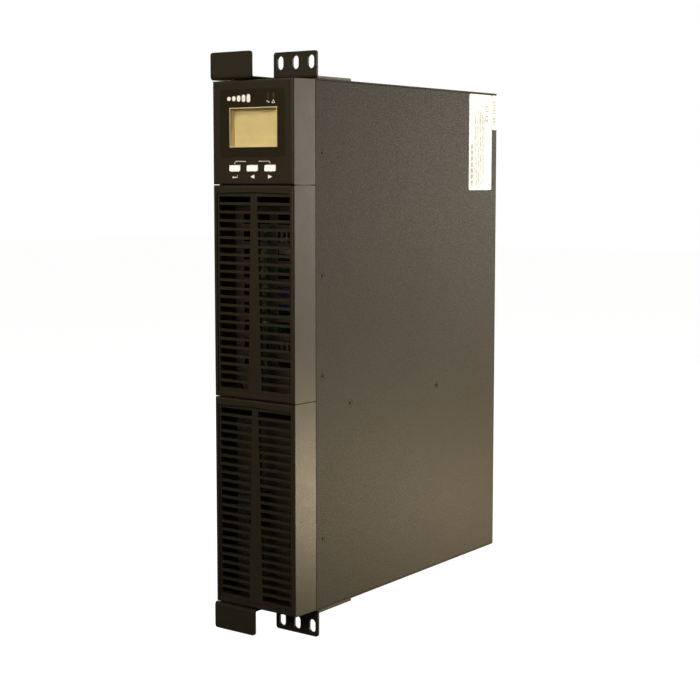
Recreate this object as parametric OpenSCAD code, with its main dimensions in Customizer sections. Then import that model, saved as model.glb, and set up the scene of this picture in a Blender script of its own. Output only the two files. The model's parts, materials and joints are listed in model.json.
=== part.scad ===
// Two-unit rack or tower on-line uninterruptible power supply, standing on end.
// Lengths are in millimetres. Inside the model, y = 0 is the front of the steel chassis,
// z = 0 is its lower end and x = 0 is its middle; placed() moves that to the part's frame.

/* [Chassis] */
// Width of the chassis across its narrow side
chassis_w = 88; // [88:0.5:110]
// Length of the chassis along its tall side
chassis_h = 438; // [430:1:530]
// Depth of the chassis behind the plastic front
chassis_d = 283; // [275:1:345]
// Thickness of the sheet steel
sheet = 1.2; // [1:0.1:1.5]
// Depth of the folded flanges at the front and the rear
flange_d = 16; // [14:0.5:20]
// Seam left between the cover and the ends of the tray
cover_gap = 0.3; // [0.2:0.1:0.5]

/* [Plastic front] */
// Depth of the plastic front
bezel_d = 27; // [25:0.5:33]
// Amount each side leans in from back to front
bezel_taper = 1.5; // [0.5:0.1:2.5]
// Radius of the front edges
bezel_edge_r = 1.6; // [1:0.1:2]
// Wall of the plastic front
bezel_wall = 2.4; // [2:0.1:3]
// Seam between the front blocks, and behind them
bezel_gap = 0.6; // [0.5:0.1:1]
// Gap between the front blocks and the rack ears
ear_gap = 1; // [0.5:0.1:1.5]

/* [Display module] */
// Side of the square display module
module_h = 85.5; // [82:0.5:96]
// Width of the display panel
panel_w = 68; // [66:0.5:72]
// Height of the display panel
panel_h = 54.2; // [52:0.2:56]
// Distance from the top of the module to the top of the panel
panel_top = 8.5; // [8:0.1:10]
// Width of the display window
window_w = 50; // [42:0.5:52]
// Height of the display window
window_h = 32; // [27:0.5:33]
// Depth of the display behind its window
window_depth = 5.8; // [4:0.1:7]
// Side of the square box behind the module
tub_side = 70; // [70:0.5:74]
// Depth of that box inside the chassis
tub_depth = 18; // [14:0.5:24]

/* [Buttons] */
// Width of a button
button_w = 11.3; // [9.5:0.1:13]
// Height of a button
button_h = 5; // [4:0.1:5.5]
// Distance between button centres
button_pitch = 18.6; // [17:0.1:21]
// Height of the buttons above the bottom of the module
button_up = 13.5; // [13:0.1:15]
// Travel of a button
button_travel = 1; // [0.6:0.1:1.2]
// Clearance round a button
button_gap = 0.6; // [0.4:0.1:0.8]

/* [Grilles] */
// Height of one slot
slot_h = 4.8; // [4:0.1:5.4]
// Distance between slot centres
slot_pitch = 7; // [6.6:0.1:9]
// Width across both columns of slots
slot_span = 75; // [70:0.5:76]
// Width of the spine at its top
spine_top = 6.3; // [5:0.1:10]
// Width of the spine at its bottom
spine_bottom = 14.3; // [10:0.1:20]
// Depth of the recess round the slots
grille_recess = 1.6; // [1:0.1:2.5]
// Thickness of the bars
bar_t = 3; // [2:0.1:4]

/* [Rack ears] */
// Thickness of the ear plate
ear_t = 2; // [1.5:0.1:2.2]
// Reach of an ear past the end of the chassis
ear_reach = 22.3; // [20:0.1:27]
// Length of the ear plate along the chassis
ear_back = 48; // [44:0.5:60]
// Distance from the end of the chassis to the rack slots
ear_slot_out = 13.55; // [12.5:0.05:14.5]
// Distance between rack slots
rack_pitch = 15.875; // [15.875]
// Distance from the middle of the chassis to the first rack slot
rack_first = 6.35; // [6.35]
// Width of a rack slot
ear_slot_w = 6.6; // [6:0.1:7]
// Length of a rack slot, end to end
ear_slot_len = 11; // [9:0.1:13]

/* [Batteries] */
// Long side of a battery
battery_l = 151; // [140:1:182]
// Height of a battery case
battery_case_h = 94; // [78:1:96]
// Thickness of a battery
battery_t = 65; // [54:0.5:66]
// Clear height above each battery for its terminals
terminal_room = 7; // [6.5:0.5:9]
// Clear space above and below the battery tray
bay_clear = 9.5; // [9.5:0.5:12]

/* [Electronics] */
// Thickness of a circuit board
board_t = 1.6; // [1.2:0.1:2]
// Height of the posts under the main board
post_h = 6; // [5:0.5:8]
// Length of a heat sink
sink_l = 120; // [100:1:150]
// Height of a heat sink
sink_h = 56; // [46:1:60]
// Number of fins on a heat sink
sink_fins = 11; // [8:1:12]
// Diameter of a storage capacitor
capacitor_d = 30; // [25:1:32]
// Length of a storage capacitor
capacitor_l = 45; // [35:1:54]

/* [Rear] */
// Side of the square fan
fan_size = 80; // [60:1:80]
// Depth of the fan
fan_d = 25; // [20:1:30]
// Width of a mains connector body
iec_w = 27; // [26:0.5:28]
// Height of a mains connector body
iec_h = 20; // [19:0.5:22]
// Distance between the rows of outlets
outlet_pitch = 34; // [30:0.5:36]
// Width of the expansion slot cover
card_w = 43; // [36:1:50]
// Height of the expansion slot cover
card_h = 117; // [100:1:118]

/* [Hidden] */

$fn = 64;
eps = 0.01;

// Colours
paint_black = [0.20, 0.18, 0.15];
ear_black = [0.12, 0.11, 0.08];
plastic_dark = [0.19, 0.16, 0.11];
plastic_black = [0.07, 0.07, 0.07];
zinc_grey = [0.70, 0.71, 0.72];
aluminium_grey = [0.78, 0.79, 0.80];
board_green = [0.08, 0.33, 0.18];
copper_red = [0.72, 0.36, 0.18];
label_white = [0.96, 0.95, 0.93];
lamp_green = [0.35, 0.45, 0.20];
lamp_red = [0.50, 0.22, 0.12];
lcd_tan = [0.78, 0.69, 0.48];
wire_red = [0.70, 0.08, 0.06];

// Chassis and its seams
half_w = chassis_w / 2;
inner_x = half_w - sheet;
inner_top = chassis_h - sheet;
rear_y = chassis_d - sheet;
flange_y = rear_y - flange_d + sheet;
cover_lip = 10;
flange_gap = 1;

// Everything that stands out past the chassis, front and rear
handle_proud = 0.3;
serial_proud = 5.6;
front_y = -bezel_d - handle_proud;
back_y = chassis_d + serial_proud;

// Front blocks
grille_h = (chassis_h - module_h) / 2;
module_z = chassis_h - module_h;
front_low = ear_gap;
front_high = chassis_h - ear_gap;
module_mid = chassis_h - module_h / 2;
face_in = -bezel_d + bezel_wall;
shell_back = -bezel_gap;
rim_side = 3.5;
rim_top = 5.5;
rim_bottom = 4;
recess_peak = 1;
slot_margin = 3;
snap_r = 2.5;
snap_in = 5;
snap_reach = 7;
snap_x = inner_x - 5.3;
snap_clear = 0.4;
snap_z_lower = [snap_in, grille_h - snap_in];
snap_z_upper = [grille_h + snap_in, module_z - snap_in];

// Display module, seen from the front
panel_r = 3;
panel_t = 1.4;
panel_seam = 0.35;
panel_mid = chassis_h - panel_top - panel_h / 2;
window_x = 1;
window_mid = panel_mid - 3.4;
frame_wall = 0.7;
lens_t = 1;
lens_back = 0.1;
lamp_w = 1.6;
lamp_h = 4.5;
lamp_x = [16.8, 22.3];
lamp_mid = panel_mid + panel_h / 2 - 5.7;
lamp_clear = 0.1;
tub_wall = 1.6;
tub_clear = 0.5;
display_board_y = -bezel_d + 12;
display_board_clear = 0.2;
switch_side = 6;
switch_h = 3.5;
plunger_r = 1.6;
plunger_h = 0.8;
stop_gap = 0.3;
ribbon_w = 20;
ribbon_t = 0.8;
ribbon_drop = 14;
ribbon_slot_w = ribbon_w + 4;
ribbon_slot_h = 4;

// Buttons
button_z = module_z + button_up;
button_proud = 0.3;
button_skirt = 1.1;
button_skirt_t = 0.8;
button_stem_r = 1.7;

// Rack ears
ear_bend = 3;
ear_corner = 2.5;
ear_split = -0.5;
ear_flange_y = 1.5;
ear_screw_x = 28;
ear_screw_y = [18, 38];
ear_screw_r = 2;
ear_screw_len = 6.2;
head_angle_h = 1.4;

// Cover screws: one column up the front flange, one row along the partition
cover_screw_y = flange_d / 2;
cover_screw_z = [60, 196, 278.5, 378.3];
partition_screw_y = [46.6, 180];
cover_screw_r = 1.5;
cover_screw_head = 3;
cover_screw_len = 5;

// Labels
label_t = 0.15;
label_w = 40.5;
label_h = 89.5;
label_r = 2;
serial_w = 8.6;
serial_h = 32.5;
serial_r = 0.8;
label_gap = 0.4;
label_top = inner_top - 0.8;

// Battery bay
tray_t = 1.2;
bay_front = 9;
bay_z = sheet + bay_clear;
cell_z = bay_z + tray_t;
partition_z = sheet + 2 * bay_clear + 2 * tray_t + battery_l;
partition_flange = 9.2;
partition_front = bay_front - 1;
partition_back = chassis_d - 43;
rail_h = 5.2;
rail_w = 10;
tray_x = -inner_x + rail_h;
cell_x = tray_x + tray_t;
cell_pitch = battery_case_h + terminal_room;
tray_d = 2 * cell_pitch + tray_t;
tray_lip = 18;
terminal_w = 6.3;
terminal_len = 6;
terminal_t = 0.8;
terminal_inset = 12;
bay_opening_gap = 0.5;
opening_left = tray_x - bay_opening_gap;
opening_right = cell_x + battery_t + bay_opening_gap;
opening_low = bay_z - bay_opening_gap;
opening_high = bay_z + 2 * tray_t + battery_l + bay_opening_gap;
door_side = 7.5;
door_over = 1.2;
door_hook = 1.2;
door_hook_reach = 2.6;
door_hook_h = 12;
door_hook_in = 24;
door_room = 0.5;
door_left = opening_left - door_over - 1;
door_right = opening_right + door_side;
door_low = opening_low - door_over;
door_high = opening_high + door_over;
door_screw_r = 2;
door_screw_head = 2.2;
door_screw_x = opening_right + door_side / 2;
door_screw_z = [opening_low + 20, opening_high - 35];
plug_size = [22, 14, 18];
plug_x = -17;
plug_z = opening_low + 76;
lead_r = 1.8;
lead_hole_h = 10;
lead_hole_z = plug_z - plug_size[2];

// Electronics bay
board_x = -inner_x + post_h;
board_top = board_x + board_t;
board_y = tub_depth + 16;
board_back = chassis_d - 40;
board_low = partition_z + sheet + 7;
board_high = inner_top - 7;
board_edge = 6;
insulator_t = 0.4;
post_r = 3;
part_margin = 12;
sink_base = 4;
sink_fin_h = 18;
sink_fin_t = 1.4;
transistor = [16, 5, 21];
capacitor_count = 4;
capacitor_pitch = capacitor_d + 3;
core_side = 42;
core_leg = 9;
core_up = 4;
core_in = 4;
coil_h = 40;
choke_r = 13;
choke_wire_r = 6;
relay = [24, 13, 28];
relay_gap = 4;
control_row_h = 25;
sink_row_h = sink_base + sink_fin_h + transistor[1];
row_heights = [sink_row_h, capacitor_d, sink_row_h, core_side, control_row_h];
rows_total = sink_row_h * 2 + capacitor_d + core_side + control_row_h;
row_gap = (board_high - board_low - 2 * part_margin - rows_total) / (len(row_heights) - 1);
function heights_below(row) = row == 0 ? 0 : row_heights[row - 1] + heights_below(row - 1);
function row_z(row) = board_low + part_margin + heights_below(row) + row * row_gap;
parts_y = board_y + part_margin;

// Rear panel, rows of connectors from the fan upwards
fan_edge = 8;
fan_z = sheet + fan_edge + fan_size / 2;
fan_wall = 2;
fan_hole = fan_size * 0.447;
fan_hole_r = 2.2;
fan_hub_r = 18;
fan_shaft_r = 2;
fan_shaft_clear = 0.05;
fan_motor_t = 3;
fan_blades = 7;
fan_blade_t = 1.4;
fan_blade_tilt = 38;
fan_tip_clear = 1;
guard_wire_r = 0.9;
socket_z = fan_z + fan_size / 2 + 21;
inlet_z = socket_z + 32;
inlet_x = -19;
breaker_x = 21;
outlet_z = inlet_z + 37;
outlet_x = 20;
outlet_rows = 3;
ports_z = outlet_z + (outlet_rows - 1) * outlet_pitch + 28;
serial_z = ports_z + 21;
card_z = serial_z + 13 + card_h / 2;
connector_flange = 2.4;
connector_flange_t = 1.5;
connector_depth = 22;
pin_hole_d = 12;
card_t = 1;
card_screw_r = 1.5;
card_screw_off = card_h / 2 - 5.5;
breaker_bush_r = 7.5;
breaker_button_r = 4.7;
breaker_case = [18, 22, 24];
socket_x = -17;
socket_size = [30, 16];
socket_pole = [9, 10];
socket_pole_off = 7;
earth_x = 28;
earth_r = 1.9;
blade_places = [[-7, -1.5], [0, 2], [7, -1.5]];
// Ports as [x, z, width, height, how far the shell stands out, shell wall, hollow depth]
ports = [
    [-19, ports_z, 29, 14, 1.2, 1.6, 11],
    [11, ports_z, 13, 12, 1.2, 2, 9],
    [30, ports_z, 14, 9, 3, 2.2, 6],
    [0, serial_z, 18, 10, serial_proud, 0.8, 5]
];

// Moves the model from its own origin to the middle of its footprint
module placed() {
    translate([0, -(front_y + back_y) / 2, ear_reach]) children();
}

// Extrudes an outline drawn in x and z from y0 to y1
module along_y(y0, y1) {
    translate([0, y1, 0]) rotate([90, 0, 0]) linear_extrude(y1 - y0) children();
}

// Extrudes an outline drawn in y and z from x0 to x1
module along_x(x0, x1) {
    translate([x0, 0, 0]) rotate([90, 0, 90]) linear_extrude(x1 - x0) children();
}

// Extrudes an outline drawn in x and y from z0 to z1
module along_z(z0, z1) {
    translate([0, 0, z0]) linear_extrude(z1 - z0) children();
}

// Box between two opposite corners
module block(low, high) {
    translate(low) cube(high - low);
}

// Rectangle between two opposite corners
module rectangle(low, high) {
    translate(low) square(high - low);
}

// Rectangle about its centre with rounded corners
module rounded(size, r) {
    square([size[0] - 2 * r, size[1]], center = true);
    square([size[0], size[1] - 2 * r], center = true);
    for (x = [-1, 1], y = [-1, 1])
        translate([x * (size[0] / 2 - r), y * (size[1] / 2 - r)]) circle(r);
}

// Round bars along each axis
module rod_x(y, z, r, x0, x1) {
    translate([x0, y, z]) rotate([0, 90, 0]) cylinder(r = r, h = x1 - x0);
}

module rod_y(x, z, r, y0, y1) {
    translate([x, y0, z]) rotate([-90, 0, 0]) cylinder(r = r, h = y1 - y0);
}

module rod_z(x, y, r, z0, z1) {
    translate([x, y, z0]) cylinder(r = r, h = z1 - z0);
}

// Round wire through a list of points, its joints a little fuller than the wire
module wire(points, r) {
    joint_r = r + 0.1;
    for (i = [0 : len(points) - 2]) {
        run = points[i + 1] - points[i];
        long = norm(run);
        translate(points[i])
            rotate([0, acos(run[2] / long), atan2(run[1], run[0])])
                cylinder(r = r, h = long, $fn = 24);
    }
    for (i = [1 : len(points) - 2]) translate(points[i]) sphere(joint_r, $fn = 24);
}

// Turns a screw whose head faces up so that it faces another way
module facing_right() { rotate([0, 90, 0]) children(); }
module facing_front() { rotate([90, 0, 0]) children(); }
module facing_rear() { rotate([-90, 0, 0]) children(); }

// Crossed driver recess cut down from z = 0
module cross_recess(size) {
    for (turn = [0, 90])
        rotate(turn) translate([-size, -size / 5, -size / 2]) cube([2 * size, size * 2 / 5, size]);
}

// Countersunk screw, its head flush with z = 0
module countersunk_screw(r, head_r, head_h, length) {
    difference() {
        union() {
            translate([0, 0, -head_h]) cylinder(r1 = r, r2 = head_r, h = head_h);
            translate([0, 0, -length]) cylinder(r = r, h = length - head_h + eps);
        }
        cross_recess(head_r * 0.6);
    }
}

// Pan head screw, its head standing on z = 0
module pan_screw(r, head_r, head_h, length) {
    difference() {
        union() {
            cylinder(r = head_r, h = head_h);
            translate([0, 0, -length]) cylinder(r = r, h = length + eps);
        }
        translate([0, 0, head_h]) cross_recess(head_r * 0.6);
    }
}

// Places of the cover screws as [y, z]
function cover_screw_places() = concat(
    [for (z = cover_screw_z) [cover_screw_y, z]],
    [for (y = partition_screw_y) [y, partition_z - partition_flange / 2]]
);

// Folded tray: the flat side and both ends of the chassis
module chassis_tray() {
    tray_corner = 1.5;
    color(paint_black) placed() difference() {
        along_y(0, chassis_d) translate([0, chassis_h / 2]) difference() {
            union() {
                rounded([chassis_w, chassis_h], tray_corner);
                rectangle([0, -chassis_h / 2], [half_w, chassis_h / 2]);
            }
            rectangle([-inner_x, -chassis_h / 2 + sheet], [half_w + 1, chassis_h / 2 - sheet]);
        }
        for (x = [-ear_screw_x, ear_screw_x], y = ear_screw_y)
            rod_z(x, y, ear_screw_r, -1, chassis_h + 1);
    }
}

// Cover over the other flat side, with a lip folded in at each end
module side_cover() {
    cover_low = sheet + cover_gap;
    cover_high = inner_top - cover_gap;
    color(paint_black) placed() difference() {
        union() {
            block([inner_x, 0, cover_low], [half_w, chassis_d, cover_high]);
            for (z = [cover_low, cover_high - sheet])
                block([inner_x - cover_lip, flange_d + flange_gap, z],
                      [inner_x, flange_y - flange_gap, z + sheet]);
        }
        for (place = cover_screw_places()) {
            rod_x(place[0], place[1], cover_screw_r + 0.1, inner_x - 1, half_w + 1);
            translate([half_w - sheet, place[0], place[1]]) facing_right()
                cylinder(r1 = cover_screw_r + 0.1, r2 = cover_screw_head + 0.3, h = sheet + eps);
        }
    }
}

// Steel plate behind the plastic front, vented behind the upper grille
module front_plate() {
    vent = [28, 9];
    vent_pitch = 15;
    vent_x = 18.5;
    vent_margin = 18;
    vent_rows = floor((grille_h - 2 * vent_margin) / vent_pitch);
    vent_low = (module_z + grille_h - (vent_rows - 1) * vent_pitch) / 2;
    color(paint_black) placed() difference() {
        union() {
            block([-inner_x, 0, sheet], [inner_x, sheet, inner_top]);
            for (x = [-inner_x, inner_x - sheet])
                block([x, 0, sheet], [x + sheet, flange_d, inner_top]);
        }
        block([opening_left, -1, opening_low], [opening_right, sheet + 1, opening_high]);
        along_y(-1, sheet + 1) translate([0, module_mid])
            square(tub_side + 2 * tub_clear, center = true);
        for (row = [0 : vent_rows - 1], side = [-1, 1])
            along_y(-1, sheet + 1) translate([side * vent_x, vent_low + row * vent_pitch])
                square(vent, center = true);
        snap_holes(-1, sheet + 1);
        for (z = cover_screw_z)
            rod_x(cover_screw_y, z, cover_screw_r, inner_x - 2 * sheet, inner_x + 1);
        for (z = door_screw_z)
            rod_y(door_screw_x, z, door_screw_r, -1, sheet + 1);
    }
}

// Clearance holes round every snap post of both grilles
module snap_holes(y0, y1) {
    for (z = concat(snap_z_lower, snap_z_upper), x = [-snap_x, snap_x])
        rod_y(x, z, snap_r + snap_clear, y0, y1);
}

// Rear panel with its connector cut-outs
module rear_panel() {
    color(paint_black) placed() difference() {
        union() {
            block([-inner_x, rear_y, sheet], [inner_x, chassis_d, inner_top]);
            for (x = [-inner_x, inner_x - sheet])
                block([x, flange_y, sheet], [x + sheet, chassis_d, inner_top]);
        }
        rod_y(0, fan_z, fan_size / 2 - fan_wall, rear_y - 1, chassis_d + 1);
        fan_corners() rod_y(0, 0, fan_hole_r, rear_y - 1, chassis_d + 1);
        along_y(rear_y - 1, chassis_d + 1) {
            for (place = concat([[inlet_x, inlet_z]], outlet_places()))
                translate(place) square([iec_w, iec_h], center = true);
            translate([breaker_x, inlet_z]) circle(breaker_bush_r);
            translate([socket_x, socket_z]) square(socket_size, center = true);
            translate([earth_x, socket_z]) circle(earth_r + 0.1);
            for (port = ports) translate([port[0], port[1]]) square([port[2], port[3]], center = true);
            translate([0, card_z]) square([card_w - 5, card_h - 22], center = true);
            for (side = [-1, 1])
                translate([0, card_z + side * card_screw_off]) circle(card_screw_r + 0.1);
        }
    }
}

function outlet_places() = [
    for (row = [0 : outlet_rows - 1], side = [-1, 1]) [side * outlet_x, outlet_z + row * outlet_pitch]
];

// The fan's four corners, as places for children drawn at the origin
module fan_corners() {
    for (x = [-1, 1], z = [-1, 1])
        translate([x * fan_hole, 0, fan_z + z * fan_hole]) children();
}

// Shelf between the batteries and the electronics, its flanges screwed to cover and tray
module bay_partition() {
    flange_low = partition_z - partition_flange;
    tongue = inner_x - sheet - cover_gap;
    color(zinc_grey) placed() difference() {
        union() {
            block([-tongue, partition_front, partition_z], [tongue, partition_back, partition_z + sheet]);
            block([-inner_x, flange_d + flange_gap, partition_z],
                  [inner_x, partition_back, partition_z + sheet]);
            for (x = [-inner_x, inner_x - sheet])
                block([x, flange_d + flange_gap, flange_low], [x + sheet, partition_back, partition_z + sheet]);
        }
        for (y = partition_screw_y)
            rod_x(y, partition_z - partition_flange / 2, cover_screw_r, inner_x - 2 * sheet, inner_x + 1);
    }
}

module cover_screws() {
    color(plastic_black) placed()
        for (place = cover_screw_places())
            translate([half_w - 0.1, place[0], place[1]]) facing_right()
                countersunk_screw(cover_screw_r - 0.05, cover_screw_head, sheet - 0.1, cover_screw_len);
}

// Angle profile: a bent sheet, one leg along +y from the bend, one leg up
module bent_profile(y0, y1, height) {
    difference() {
        union() {
            rectangle([y0 + ear_bend, 0], [y1, ear_t]);
            rectangle([y0, ear_bend], [y0 + ear_t, height]);
            intersection() {
                translate([y0 + ear_bend, ear_bend]) circle(ear_bend);
                rectangle([y0, 0], [y0 + ear_bend, ear_bend]);
            }
        }
        translate([y0 + ear_bend, ear_bend]) circle(ear_bend - ear_t);
    }
}

// One half of an ear: a bent plate with its two free corners rounded
module ear_half(x0, x1, bend_y) {
    wide = x1 - x0;
    intersection() {
        along_x(x0, x1) bent_profile(bend_y, ear_back, ear_reach);
        along_y(bend_y - 1, ear_back + 1) translate([(x0 + x1) / 2, 0]) {
            translate([0, ear_reach / 2]) rounded([wide, ear_reach], ear_corner);
            rectangle([-wide / 2, -1], [wide / 2, ear_reach / 2]);
        }
    }
}

// Ear drawn standing on z = 0
module rack_ear() {
    difference() {
        union() {
            ear_half(-half_w, ear_split, front_y);
            ear_half(ear_split, half_w, ear_flange_y);
            block([ear_split - 1, ear_flange_y + ear_bend, 0], [ear_split + 1, ear_back, ear_t]);
        }
        for (i = [0 : 2])
            along_y(ear_flange_y - 1, ear_flange_y + ear_t + 1)
                translate([rack_first + i * rack_pitch, ear_slot_out])
                    rounded([ear_slot_w, ear_slot_len], ear_slot_w / 2 - eps);
        for (x = [-ear_screw_x, ear_screw_x], y = ear_screw_y) {
            rod_z(x, y, ear_screw_r + 0.2, -1, ear_t + 1);
            translate([x, y, ear_t - head_angle_h - 0.1])
                cylinder(r1 = ear_screw_r + 0.2, r2 = 2 * ear_screw_r + 0.3, h = head_angle_h + 0.1 + eps);
        }
    }
}

module rack_ear_top() {
    color(ear_black) placed() translate([0, 0, chassis_h]) rack_ear();
}

module rack_ear_bottom() {
    color(ear_black) placed() mirror([0, 0, 1]) rack_ear();
}

module ear_screws() {
    color(plastic_black) placed()
        for (end = [0, 1])
            translate([0, 0, end * chassis_h]) mirror([0, 0, 1 - end])
                for (x = [-ear_screw_x, ear_screw_x], y = ear_screw_y)
                    translate([x, y, ear_t])
                        countersunk_screw(ear_screw_r - 0.1, 2 * ear_screw_r, head_angle_h, ear_screw_len);
}

// Two labels near the rear of the cover, the narrow one on its rear edge
module cover_labels() {
    wide_y = chassis_d - serial_w - label_gap - label_w / 2;
    color(label_white) placed() along_x(half_w, half_w + label_t) {
        translate([wide_y, label_top - label_h / 2]) rounded([label_w, label_h], label_r);
        translate([chassis_d - serial_w / 2, label_top - serial_h / 2]) rounded([serial_w, serial_h], serial_r);
    }
}

// Outside of one front block, leaning in to the front, with round front edges
module front_block(z0, z1) {
    back = half_w;
    front = half_w - bezel_taper;
    intersection() {
        along_z(z0, z1) {
            polygon([
                [-back, shell_back], [back, shell_back],
                [front, -bezel_d + bezel_edge_r], [-front, -bezel_d + bezel_edge_r]
            ]);
            rectangle([-front + bezel_edge_r, -bezel_d], [front - bezel_edge_r, -bezel_d + 2 * bezel_edge_r]);
            for (side = [-1, 1])
                translate([side * (front - bezel_edge_r), -bezel_d + bezel_edge_r]) circle(bezel_edge_r);
        }
        along_x(-back - 1, back + 1) {
            rectangle([-bezel_d, z0 + bezel_edge_r], [shell_back, z1 - bezel_edge_r]);
            rectangle([-bezel_d + bezel_edge_r, z0], [shell_back, z1]);
            for (z = [z0 + bezel_edge_r, z1 - bezel_edge_r])
                translate([-bezel_d + bezel_edge_r, z]) circle(bezel_edge_r);
        }
    }
}

// Hollow inside one front block
module front_hollow(z0, z1, y0) {
    back = half_w - bezel_wall;
    along_z(z0 + bezel_wall, z1 - bezel_wall)
        polygon([
            [-back, 1], [back, 1],
            [back - bezel_taper, y0], [-back + bezel_taper, y0]
        ]);
}

// Grille front: a recessed field of slots either side of a widening spine, with snap posts
module grille(z0, z1, snap_z) {
    low = z0 + rim_bottom;
    high = z1 - rim_top;
    recess_half = half_w - bezel_taper - rim_side;
    slot_count = floor((high - low - slot_h - 2 * slot_margin) / slot_pitch) + 1;
    first_slot = (low + high - (slot_count - 1) * slot_pitch) / 2;
    field_back = -bezel_d + grille_recess + bar_t;
    difference() {
        union() {
            difference() {
                front_block(z0, z1);
                front_hollow(z0, z1, field_back);
            }
            for (x = [-snap_x, snap_x], z = snap_z)
                rod_y(x, z, snap_r, field_back - eps, snap_reach);
        }
        door_pocket();
        along_y(-bezel_d - 1, -bezel_d + grille_recess)
            polygon([
                [-recess_half, low], [recess_half, low],
                [recess_half, high - recess_peak], [0, high], [-recess_half, high - recess_peak]
            ]);
        along_y(-bezel_d, field_back + eps) difference() {
            for (i = [0 : slot_count - 1])
                translate([0, first_slot + i * slot_pitch]) square([slot_span, slot_h], center = true);
            polygon([
                [-spine_bottom / 2, z0], [spine_bottom / 2, z0],
                [spine_top / 2, z1], [-spine_top / 2, z1]
            ]);
        }
    }
}

// Room for the battery door and its screws, wherever the door reaches; the snap posts stay
module door_pocket() {
    difference() {
        block([door_left - door_room, -sheet - door_screw_head - door_room, door_low - door_room],
              [door_right + door_room, shell_back + 1, door_high + door_room]);
        for (z = concat(snap_z_lower, snap_z_upper), x = [-snap_x, snap_x])
            rod_y(x, z, snap_r + eps, -bezel_d, shell_back + 2);
    }
}

module grille_upper() {
    color(plastic_dark) placed()
        grille(grille_h + bezel_gap / 2, module_z - bezel_gap / 2, snap_z_upper);
}

module grille_lower() {
    color(plastic_dark) placed()
        grille(front_low, grille_h - bezel_gap / 2, snap_z_lower);
}

// Display module: front block with a box behind it that seats in the chassis
module display_housing() {
    z0 = module_z + bezel_gap / 2;
    color(plastic_dark) placed() difference() {
        union() {
            difference() {
                front_block(z0, front_high);
                front_hollow(z0, front_high, face_in);
            }
            along_y(face_in - eps, tub_depth) translate([0, module_mid])
                square(tub_side, center = true);
        }
        along_y(face_in, tub_depth - tub_wall) translate([0, module_mid])
            square(tub_side - 2 * tub_wall, center = true);
        along_y(tub_depth - tub_wall - 1, tub_depth + 1) translate([0, module_mid])
            square([ribbon_slot_w, ribbon_slot_h], center = true);
        along_y(-bezel_d - 1, -bezel_d + panel_t) translate([0, panel_mid])
            rounded([panel_w + 2 * panel_seam, panel_h + 2 * panel_seam], panel_r + panel_seam);
        window_hole();
        lamp_holes();
        for (i = [-1, 0, 1])
            along_y(-bezel_d - 1, face_in + 1) translate([i * button_pitch, button_z])
                rounded([button_w + 2 * button_gap, button_h + 2 * button_gap], 1);
    }
}

// Hole for the display window through panel and housing
module window_hole() {
    along_y(-bezel_d - 1, face_in + 1) translate([window_x, window_mid])
        square([window_w, window_h], center = true);
}

module lamp_holes() {
    for (x = lamp_x)
        along_y(-bezel_d - 1, face_in + 1) translate([x, lamp_mid])
            square([lamp_w + 2 * lamp_clear, lamp_h + 2 * lamp_clear], center = true);
}

// Panel set into the front of the display module
module display_panel() {
    color(plastic_dark) placed() difference() {
        along_y(-bezel_d, -bezel_d + panel_t) translate([0, panel_mid])
            rounded([panel_w, panel_h], panel_r);
        window_hole();
        lamp_holes();
    }
}

module display_lens() {
    color([0.9, 0.9, 0.85, 0.3]) placed()
        along_y(-bezel_d + lens_back, -bezel_d + lens_back + lens_t) translate([window_x, window_mid])
            square([window_w - 2 * frame_wall, window_h - 2 * frame_wall], center = true);
}

// Deep frame that holds the lens in front of the display
module display_frame() {
    color(lcd_tan) placed()
        along_y(-bezel_d + lens_back, -bezel_d + window_depth + lens_t)
            translate([window_x, window_mid]) difference() {
                square([window_w, window_h], center = true);
                square([window_w - 2 * frame_wall, window_h - 2 * frame_wall], center = true);
            }
}

module display_cell() {
    color(lcd_tan) placed()
        along_y(-bezel_d + window_depth, display_board_y) translate([window_x, window_mid])
            square([window_w - 2 * frame_wall, window_h - 2 * frame_wall], center = true);
}

// Light guide from the display board to the panel
module light_guide(x) {
    along_y(-bezel_d + lens_back / 2, display_board_y) translate([x, lamp_mid])
        square([lamp_w, lamp_h], center = true);
}

module line_light() {
    color(lamp_green) placed() light_guide(lamp_x[0]);
}

module fault_light() {
    color(lamp_red) placed() light_guide(lamp_x[1]);
}

module display_board() {
    side = tub_side - 2 * tub_wall - 2 * display_board_clear;
    color(board_green) placed()
        along_y(display_board_y, display_board_y + board_t) translate([0, module_mid])
            square(side, center = true);
}

module touch_switches() {
    color(plastic_black) placed()
        for (i = [-1, 0, 1]) {
            translate([i * button_pitch, display_board_y - switch_h / 2, button_z])
                cube([switch_side, switch_h, switch_side], center = true);
            rod_y(i * button_pitch, button_z, plunger_r,
                  display_board_y - switch_h - plunger_h, display_board_y - switch_h + eps);
        }
}

// Flat cable behind the display board: back, down a fold, and back again
module display_ribbon() {
    start = display_board_y + board_t;
    fold = tub_depth + 8;
    finish = tub_depth + 14;
    z = module_mid;
    color(zinc_grey) placed() along_x(-ribbon_w / 2, ribbon_w / 2) {
        rectangle([start, z - ribbon_t / 2], [fold, z + ribbon_t / 2]);
        rectangle([fold - ribbon_t, z - ribbon_drop], [fold, z + ribbon_t / 2]);
        rectangle([fold - ribbon_t, z - ribbon_drop], [finish, z - ribbon_drop + ribbon_t]);
    }
}

// Button with a skirt that keeps it in the housing and a stem that meets its switch
module button(index) {
    skirt_y = face_in + stop_gap;
    stem_end = display_board_y - switch_h - plunger_h - button_travel - stop_gap;
    x = index * button_pitch;
    along_y(-bezel_d - button_proud, skirt_y + button_skirt_t) translate([x, button_z])
        rounded([button_w, button_h], 0.8);
    along_y(skirt_y, skirt_y + button_skirt_t) translate([x, button_z])
        square([button_w + 2 * button_skirt, button_h + 2 * button_skirt], center = true);
    rod_y(x, button_z, button_stem_r, skirt_y, stem_end);
}

module button_enter() {
    color(label_white) placed() button(-1);
}

module button_left() {
    color(label_white) placed() button(0);
}

module button_right() {
    color(label_white) placed() button(1);
}

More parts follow.
